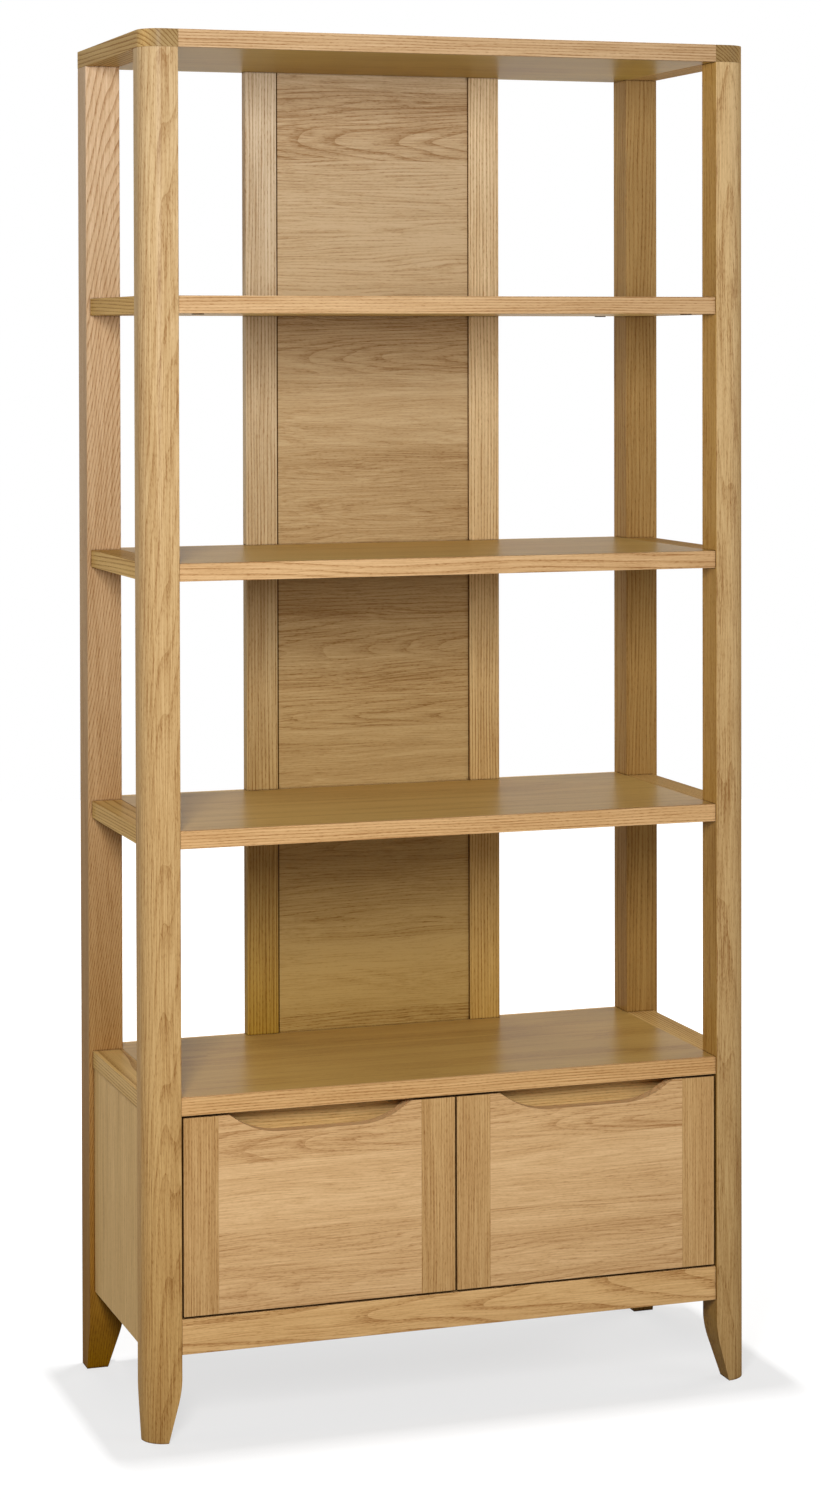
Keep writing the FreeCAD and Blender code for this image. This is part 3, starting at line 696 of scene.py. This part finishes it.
def choose(piece, kind, wanted):
    """Enter edit mode with just the points, edges or faces selected that pass the test.

    The test gets a point's place, the places of an edge's two ends or the middle of a face.
    """
    bpy.ops.object.mode_set(mode="EDIT")
    bpy.ops.mesh.select_mode(type=kind)
    bpy.ops.mesh.select_all(action="DESELECT")
    bpy.ops.object.mode_set(mode="OBJECT")
    points = piece.data.vertices
    if kind == "VERT":
        for point in points:
            point.select = wanted(point.co)
    elif kind == "EDGE":
        for edge in piece.data.edges:
            edge.select = wanted(*(points[index].co for index in edge.vertices))
    else:
        for face in piece.data.polygons:
            face.select = wanted(face.center)
    bpy.ops.object.mode_set(mode="EDIT")


def round_edges(piece, radius, segments, wanted):
    """Round the chosen edges."""
    choose(piece, "EDGE", wanted)
    bpy.ops.mesh.bevel(offset=radius, segments=segments, profile=0.5, affect="EDGES")
    bpy.ops.object.mode_set(mode="OBJECT")


def cut(point, outward, drop):
    """Cut the active piece by a plane, and either keep both sides or drop the outer one."""
    bpy.ops.object.mode_set(mode="EDIT")
    bpy.ops.mesh.select_all(action="SELECT")
    bpy.ops.mesh.bisect(plane_co=point, plane_no=outward, use_fill=drop, clear_outer=drop)
    bpy.ops.object.mode_set(mode="OBJECT")


def soften(piece, radius):
    """Break all sharp edges with a small radius, as sanding does, and shade the curves smooth."""
    bevel = piece.modifiers.new("sanded edges", "BEVEL")
    bevel.width = radius
    bevel.segments = 2
    bevel.limit_method = "ANGLE"
    # Edges under 40 degrees belong to curves and stay.
    bevel.angle_limit = math.radians(40)
    bpy.ops.object.modifier_apply(modifier=bevel.name)
    bpy.ops.object.shade_smooth()
    even = piece.modifiers.new("even shading", "WEIGHTED_NORMAL")
    even.keep_sharp = True
    bpy.ops.object.modifier_apply(modifier=even.name)


def copy_of(piece, name, shift):
    """Copy of a piece with its own mesh, moved by the shift."""
    bpy.ops.object.select_all(action="DESELECT")
    piece.select_set(True)
    bpy.context.view_layer.objects.active = piece
    bpy.ops.object.duplicate()
    bpy.ops.transform.translate(value=shift)
    bpy.ops.object.transform_apply(location=True, rotation=True, scale=True)
    twin = bpy.context.active_object
    twin.name = name
    twin.data.name = name
    return twin


def join(pieces):
    """Join pieces into the first one."""
    bpy.ops.object.select_all(action="DESELECT")
    for piece in pieces:
        piece.select_set(True)
    bpy.context.view_layer.objects.active = pieces[0]
    bpy.ops.object.join()


def finish_like(piece, node, material):
    """Give the piece a finish, and put it on the same body as the node."""
    piece.data.materials.clear()
    piece.data.materials.append(bpy.data.materials[material])
    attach(piece, BODY_OF[node])


def settle(piece, node, material):
    """Give the piece its finish, and let it stand for its node."""
    finish_like(piece, node, material)
    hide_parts(node)


def timbers(nodes, low, high, radius, material):
    """Straight timbers of one size, made in the first node's place and copied to the others."""
    pieces = [new_block("oak_" + nodes[0], low, high)]
    soften(pieces[0], radius)
    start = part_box(nodes[0])[0]
    for node in nodes[1:]:
        pieces.append(copy_of(pieces[0], "oak_" + node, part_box(node)[0] - start))
    for piece, node in zip(pieces, nodes):
        settle(piece, node, material)


def dress(node, material):
    """Give a node that keeps its own shape a finish."""
    for slot in frame["nodes"][node].material_slots:
        slot.material = bpy.data.materials[material]


def foot_cut_angles(sizes):
    """Slopes of the cuts that follow the foot's curve, down to the straight taper."""
    post_size = UNIT_HIGH.x - INNER_X
    reach = sizes.foot_tip - post_size + sizes.foot_curve_radius
    distance = math.hypot(reach, sizes.foot_taper_height)
    middle = math.atan2(sizes.foot_taper_height, reach)
    steepest = middle - math.acos(sizes.foot_curve_radius / distance)
    return [steepest * (index + 1) / sizes.foot_cuts for index in range(sizes.foot_cuts)]


def shape_foot(side, end, sizes):
    """Taper the two inner faces of a post's foot."""
    for angle in foot_cut_angles(sizes):
        inset = sizes.foot_curve_radius * (1 - math.cos(angle))
        height = sizes.foot_taper_height - sizes.foot_curve_radius * math.sin(angle)
        flat = math.cos(angle)
        down = -math.sin(angle)
        cut((side * (INNER_X + inset), 0, height), (-side * flat, 0, down), drop=True)
        cut((0, end * (INNER_Y + inset), height), (0, -end * flat, down), drop=True)


def is_outer_corner(point, side, end):
    """Whether a point lies on the outer corner line of the unit."""
    return side * point.x > UNIT_HIGH.x - MM and end * point.y > UNIT_HIGH.y - MM


def make_post(side, end, sizes):
    """Post with a rounded or eased outer corner and a tapered foot."""
    node = f"post_{END_NAMES[end]}_{SIDE_NAMES[side]}"
    corner = (side * UNIT_HIGH.x, end * UNIT_HIGH.y, 0)
    inner = (side * INNER_X, end * INNER_Y, POST_TOP)
    low = [min(pair) for pair in zip(corner, inner)]
    high = [max(pair) for pair in zip(corner, inner)]
    piece = new_block("oak_" + node, low, high)

    def is_upright(start, stop):
        return abs(start.z - stop.z) > POST_TOP / 2

    def on_rounded_corner(start, stop):
        return is_upright(start, stop) and is_outer_corner(start, side, end)

    def on_other_corner(start, stop):
        inner_line = side * start.x < INNER_X + MM or end * start.y < INNER_Y + MM
        rear_line = end == REAR and is_outer_corner(start, side, end)
        return is_upright(start, stop) and (inner_line or rear_line)

    if end == FRONT:
        round_edges(piece, sizes.corner_radius, sizes.corner_segments, on_rounded_corner)
    round_edges(piece, sizes.post_arris, ARRIS_SEGMENTS, on_other_corner)
    shape_foot(side, end, sizes)
    soften(piece, sizes.joint_arris)
    settle(piece, node, "oak_" + node)


def make_top_rail(side, sizes):
    """End of the top, rounded in front like the post under it."""
    node = f"top_rail_{SIDE_NAMES[side]}"
    piece = new_block("oak_" + node, *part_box(node))

    def on_rounded_corner(start, stop):
        return abs(start.z - stop.z) > MM and is_outer_corner(start, side, FRONT)

    round_edges(piece, sizes.corner_radius, sizes.corner_segments, on_rounded_corner)
    soften(piece, sizes.joint_arris)
    settle(piece, node, "oak_" + node)


def scoop_points(sizes):
    """Points of half a scoop as distance from its middle and depth, from the mouth inward."""
    radius = sizes.scoop_radius
    arc_rise = radius * (1 - math.cos(sizes.scoop_slope))
    shoulder = (sizes.scoop_depth - arc_rise) / math.tan(sizes.scoop_slope)
    floor_end = sizes.scoop_width / 2 - shoulder - radius * math.sin(sizes.scoop_slope)
    points = [(sizes.scoop_width / 2, 0.0)]
    for step in range(sizes.scoop_steps + 1):
        angle = sizes.scoop_slope * (1 - step / sizes.scoop_steps)
        rise = radius * (1 - math.cos(angle))
        points.append((floor_end + radius * math.sin(angle), sizes.scoop_depth - rise))
    return points


def make_front_panels(sizes):
    """Middle panels of the drawer fronts, each with a hand scoop in its top edge."""
    low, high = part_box("drawer_left_front_panel")
    low.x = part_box("drawer_left_front_outer_stile")[1].x
    high.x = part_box("drawer_left_front_inner_stile")[0].x
    middle = (low.x + high.x) / 2
    left = new_block("oak_drawer_left_front_panel", low, high)
    points = scoop_points(sizes)
    for reach, _ in points:
        for line in (middle - reach, middle + reach):
            cut((line, 0, 0), (1, 0, 0), drop=False)
    for reach, depth in points:

        def on_step(point):
            return abs(abs(point.x - middle) - reach) < CLOSE and point.z > high.z - MM

        choose(left, "VERT", on_step)
        bpy.ops.transform.translate(value=(0, 0, -depth))
        bpy.ops.object.mode_set(mode="OBJECT")
    soften(left, sizes.glue_arris)
    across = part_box("drawer_right_front_inner_stile")[1].x - low.x
    right = copy_of(left, "oak_drawer_right_front_panel", (across, 0, 0))
    settle(left, "drawer_left_front_panel", "oak_front_panel")
    settle(right, "drawer_right_front_panel", "oak_front_panel")


def make_cam_rims(sizes):
    """Rims of the cams, which stand proud of the undersides of the shelves, as one piece."""
    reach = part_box("cam_locks")[1] - Vector((CAM_RADIUS, CAM_RADIUS, 0))
    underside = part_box("lower_shelf_board")[0].z
    middle = Vector((-reach.x, -reach.y, underside - sizes.cam_rim_height / 2))
    radius = sizes.cam_rim_diameter / 2
    bpy.ops.object.select_all(action="DESELECT")
    bpy.ops.mesh.primitive_cylinder_add(
        vertices=32, radius=radius, depth=sizes.cam_rim_height, location=middle
    )
    bpy.ops.object.transform_apply(location=True, rotation=True, scale=True)
    first = bpy.context.active_object
    first.name = "cam_rims"
    first.data.name = "cam_rims"
    choose(first, "FACE", lambda centre: (centre - middle).xy.length < radius / 2)
    bpy.ops.mesh.inset(thickness=sizes.cam_rim_width, use_individual=True)
    bpy.ops.mesh.bridge_edge_loops()
    bpy.ops.object.mode_set(mode="OBJECT")
    soften(first, sizes.cam_rim_height / 4)
    shifts = [
        (across, deep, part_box(f"{level}_board")[0].z - underside)
        for level in LEVELS[1:]
        for across in (0, 2 * reach.x)
        for deep in (0, 2 * reach.y)
    ]
    join([first] + [copy_of(first, "cam_rim", shift) for shift in shifts[1:]])
    finish_like(first, "cam_locks", "browned_zinc_cam")


# Operators


class SHELVING_OT_finishes(bpy.types.Operator):
    """Make the wood and metal finishes"""

    bl_idname = "shelving.finishes"
    bl_label = "Finishes"

    def execute(self, context):
        make_oak_finishes()
        make_other_finishes()
        return {"FINISHED"}


class SHELVING_OT_posts(bpy.types.Operator):
    """Model the four posts with their feet"""

    bl_idname = "shelving.posts"
    bl_label = "Posts"

    def execute(self, context):
        for side in SIDE_NAMES:
            for end in END_NAMES:
                make_post(side, end, context.scene.shelving_sizes)
        return {"FINISHED"}


class SHELVING_OT_top(bpy.types.Operator):
    """Model the top: two end rails, the board between them and its front strip"""

    bl_idname = "shelving.top"
    bl_label = "Top"

    def execute(self, context):
        sizes = context.scene.shelving_sizes
        for side in SIDE_NAMES:
            make_top_rail(side, sizes)
        low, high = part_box("top_lipping")
        timbers(["top_lipping"], low, high, sizes.joint_arris, "oak_edge_strip")
        board_low = (-INNER_X, high.y, POST_TOP)
        board_high = (INNER_X, UNIT_HIGH.y, UNIT_HIGH.z)
        timbers(["top_board"], board_low, board_high, sizes.glue_arris, "oak_top_veneer")
        return {"FINISHED"}


class SHELVING_OT_levels(bpy.types.Operator):
    """Model the cabinet top and the three shelves with their strips and side rails"""

    bl_idname = "shelving.levels"
    bl_label = "Levels"

    def execute(self, context):
        sizes = context.scene.shelving_sizes
        strips = [f"{level}_lipping" for level in LEVELS]
        timbers(strips, *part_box(strips[0]), sizes.joint_arris, "oak_edge_strip")
        rails = [f"{level}_rail_{side}" for level in LEVELS for side in SIDE_NAMES.values()]
        low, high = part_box(rails[0])
        low.y = -INNER_Y
        high.y = INNER_Y
        timbers(rails, low, high, sizes.joint_arris, "oak_rail")
        for level in LEVELS:
            dress(f"{level}_board", "oak_board_veneer")
        return {"FINISHED"}


class SHELVING_OT_back(bpy.types.Operator):
    """Model the stiles of the back and finish its panels"""

    bl_idname = "shelving.back"
    bl_label = "Back"

    def execute(self, context):
        sizes = context.scene.shelving_sizes
        floors = [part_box(f"{level}_board")[1].z for level in LEVELS]
        heads = [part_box(f"{level}_board")[0].z for level in LEVELS[1:]] + [POST_TOP]
        low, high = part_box("back_stiles_left")
        # The stiles stop short of the panels' faces by a hair, which leaves a dark line.
        high.x -= SEAM
        stiles = []
        for floor, head in zip(floors, heads):
            low.z = floor
            high.z = head
            stiles.append(new_block("oak_back_stiles_left", low, high))
            soften(stiles[-1], sizes.joint_arris)
        join(stiles)
        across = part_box("back_stiles_right")[0].x + SEAM - low.x
        right = copy_of(stiles[0], "oak_back_stiles_right", (across, 0, 0))
        settle(stiles[0], "back_stiles_left", "oak_back_stiles_left")
        settle(right, "back_stiles_right", "oak_back_stiles_right")
        for bay in BAYS:
            dress(f"back_panel_{bay}", "oak_back_panel")
        return {"FINISHED"}


class SHELVING_OT_cabinet(bpy.types.Operator):
    """Model the rails of the drawer cabinet and finish its panels"""

    bl_idname = "shelving.cabinet"
    bl_label = "Cabinet"

    def execute(self, context):
        sizes = context.scene.shelving_sizes
        for side_name in SIDE_NAMES.values():
            dress(f"side_panel_{side_name}", "oak_side_veneer")
        for node in ("base_rail", "finger_rail"):
            low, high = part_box(node)
            low.x = -INNER_X
            high.x = INNER_X
            high.z = min(high.z, CABINET_HEAD)
            timbers([node], low, high, sizes.board_arris, "oak_" + node)
        for node in ("cabinet_floor", "cabinet_back", "partition", "runner_cleats"):
            dress(node, "oak_cabinet_inside")
        return {"FINISHED"}


class SHELVING_OT_drawers(bpy.types.Operator):
    """Model both drawer fronts and finish the dovetailed boxes"""

    bl_idname = "shelving.drawers"
    bl_label = "Drawers"

    def execute(self, context):
        sizes = context.scene.shelving_sizes
        make_front_panels(sizes)
        drawers = [f"drawer_{side}" for side in SIDE_NAMES.values()]
        stiles = [f"{name}_front_{at}_stile" for name in drawers for at in ("outer", "inner")]
        timbers(stiles, *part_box(stiles[0]), sizes.glue_arris, "oak_front_stile")
        for name in drawers:
            dress(f"{name}_sides", "hardwood_box_side")
            for part in ("box_front", "box_back", "bottom"):
                dress(f"{name}_{part}", "hardwood_box_end")
        return {"FINISHED"}


class SHELVING_OT_fittings(bpy.types.Operator):
    """Finish the runners, cams and bolts"""

    bl_idname = "shelving.fittings"
    bl_label = "Fittings"

    def execute(self, context):
        dress("runner_cabinet_sections", "zinc_plated_runner")
        for side_name in SIDE_NAMES.values():
            dress(f"runner_middle_sections_{side_name}", "zinc_plated_runner")
            dress(f"drawer_{side_name}_runner_sections", "zinc_plated_runner")
        dress("cam_locks", "browned_zinc_cam")
        make_cam_rims(context.scene.shelving_sizes)
        dress("cam_bolts", "zinc_plated_bolt")
        return {"FINISHED"}


# Studio

# Soft light from all round, as a share of the white that is seen
ROOM_LIGHT = 0.08
# How much of the floor's white is added near the unit
FLOOR_LIFT = 0.66
# Distances in metres from the unit's middle at which that lift starts and ends its rise to 1
LIFT_START = 0.9
LIFT_END = 1.8


def seen_share(tree):
    """1 where the camera sees a surface, also in a mirror or through glass, and 0 for light."""
    kinds = ("Camera", "Glossy", "Transmission")
    rays = [add(tree, "LightPath", {}, f"Is {kind} Ray") for kind in kinds]
    both = add(tree, "Math", {"operation": "MAXIMUM", 0: rays[0], 1: rays[1]})
    return add(tree, "Math", {"operation": "MAXIMUM", 0: both, 1: rays[2]})


def make_world():
    """White studio: soft light from all round, plain white where it is seen."""
    world = bpy.data.worlds.new("studio")
    bpy.context.scene.world = world
    world.use_nodes = True
    tree = world.node_tree
    background = tree.nodes["Background"]
    background.inputs["Color"].default_value = WHITE
    strength = {"Value": seen_share(tree), "To Min": ROOM_LIGHT, "To Max": 1.0}
    tree.links.new(add(tree, "MapRange", strength), background.inputs["Strength"])


def make_floor():
    """White floor that keeps the shadow and fades into the white backdrop."""
    bpy.ops.object.select_all(action="DESELECT")
    bpy.ops.mesh.primitive_circle_add(vertices=64, radius=6, fill_type="NGON")
    floor = bpy.context.active_object
    floor.name = "studio_floor"
    tree, shader = new_material("matt_white_floor", roughness=1.0)
    shader.inputs["Base Color"].default_value = opaque(linear("#868686"))
    shader.inputs["Emission Color"].default_value = WHITE
    # What is seen of the floor is lifted near the unit and plain white away from it.
    local = add(tree, "TexCoord", {}, "Object")
    distance = add(tree, "VectorMath", {"operation": "LENGTH", 0: local}, "Value")
    lift = {"Value": distance, "From Min": LIFT_START, "From Max": LIFT_END}
    lift = add(tree, "MapRange", {**lift, "To Min": FLOOR_LIFT, "To Max": 1.0})
    lift = add(tree, "Math", {"operation": "MULTIPLY", 0: lift, 1: seen_share(tree)})
    tree.links.new(lift, shader.inputs["Emission Strength"])
    floor.data.materials.append(bpy.data.materials["matt_white_floor"])


def make_lamp(name, place, target, width, depth, power, sheen=True):
    """Soft rectangular lamp that faces the target, in metres and watts, with or without sheen."""
    bpy.ops.object.select_all(action="DESELECT")
    bpy.ops.object.light_add(type="AREA", location=place)
    lamp = bpy.context.active_object
    lamp.name = name
    lamp.data.shape = "RECTANGLE"
    lamp.data.size = width
    lamp.data.size_y = depth
    lamp.data.energy = power
    aim = Vector(target) - Vector(place)
    lamp.rotation_euler = aim.to_track_quat("-Z", "Y").to_euler()
    lamp.visible_camera = False
    lamp.visible_glossy = sheen


def make_camera():
    """Camera of the photograph, fitted to the unit's edges."""
    bpy.ops.object.camera_add(location=(-1500.7 * MM, -4421.5 * MM, 1475.4 * MM))
    camera = bpy.context.active_object
    camera.name = "studio_camera"
    tilt_down = math.radians(0.929)
    roll = math.radians(0.127)
    turn = math.radians(18.643)
    camera.rotation_euler = (math.radians(90) - tilt_down, roll, -turn)
    camera.data.lens = 78.21
    camera.data.shift_x = 0.0045
    camera.data.shift_y = -0.2343
    bpy.context.scene.camera = camera


class SHELVING_OT_stage(bpy.types.Operator):
    """Set the floor, the soft lamps, the white surroundings and the camera"""

    bl_idname = "shelving.stage"
    bl_label = "Studio"

    def execute(self, context):
        context.scene.view_settings.view_transform = "Standard"
        make_world()
        make_floor()
        # Name, place, target, width, depth and power
        make_lamp("key_lamp", (-1.2, -2.45, 1.85), (0, 0, 1.2), 0.5, 1.0, 66)
        make_lamp("fill_lamp", (2.9, -1.9, 1.4), (0, 0, 0.9), 1.6, 1.6, 25)
        make_lamp("side_lamp", (-3.0, 0.6, 1.4), (0, 0.1, 1.2), 1.2, 1.2, 10)
        # These two light what the photograph doesn't show, and give no sheen.
        make_lamp("right_lamp", (3.3, 1.0, 1.2), (0, 0.1, 0.9), 1.8, 1.8, 50, sheen=False)
        make_lamp("rear_lamp", (-0.6, 3.2, 1.3), (0, 0.2, 0.9), 2.2, 1.8, 50, sheen=False)
        # A small lamp far above gives the shadow on the floor its outline.
        make_lamp("ceiling_lamp", (0, 0.35, 16), (0, 0, 0), 0.15, 0.5, 2350)
        make_camera()
        return {"FINISHED"}


class SHELVING_PT_panel(bpy.types.Panel):
    """Lists the settings and the steps that use them"""

    bl_idname = "SHELVING_PT_panel"
    bl_label = "Shelving unit"
    bl_space_type = "VIEW_3D"
    bl_region_type = "UI"
    bl_category = "Shelving unit"

    def draw(self, context):
        scene = context.scene
        for group in (scene.shelving_sizes, scene.shelving_oak, scene.shelving_colours):
            column = self.layout.column(align=True)
            for name in type(group).__annotations__:
                column.prop(group, name)
        for step in STEPS:
            self.layout.operator(step.bl_idname)


STEPS = (
    SHELVING_OT_finishes,
    SHELVING_OT_posts,
    SHELVING_OT_top,
    SHELVING_OT_levels,
    SHELVING_OT_back,
    SHELVING_OT_cabinet,
    SHELVING_OT_drawers,
    SHELVING_OT_fittings,
    SHELVING_OT_stage,
)
CLASSES = (ShelvingSizes, OakSettings, FinishColours, *STEPS, SHELVING_PT_panel)


def register():
    for cls in CLASSES:
        bpy.utils.register_class(cls)
    bpy.types.Scene.shelving_sizes = bpy.props.PointerProperty(type=ShelvingSizes)
    bpy.types.Scene.shelving_oak = bpy.props.PointerProperty(type=OakSettings)
    bpy.types.Scene.shelving_colours = bpy.props.PointerProperty(type=FinishColours)


def unregister():
    del bpy.types.Scene.shelving_colours
    del bpy.types.Scene.shelving_oak
    del bpy.types.Scene.shelving_sizes
    for cls in reversed(CLASSES):
        bpy.utils.unregister_class(cls)


def main():
    register()
    bpy.ops.shelving.finishes()
    bpy.ops.shelving.posts()
    bpy.ops.shelving.top()
    bpy.ops.shelving.levels()
    bpy.ops.shelving.back()
    bpy.ops.shelving.cabinet()
    bpy.ops.shelving.drawers()
    bpy.ops.shelving.fittings()
    bpy.ops.shelving.stage()


if __name__ == "__main__":
    main()
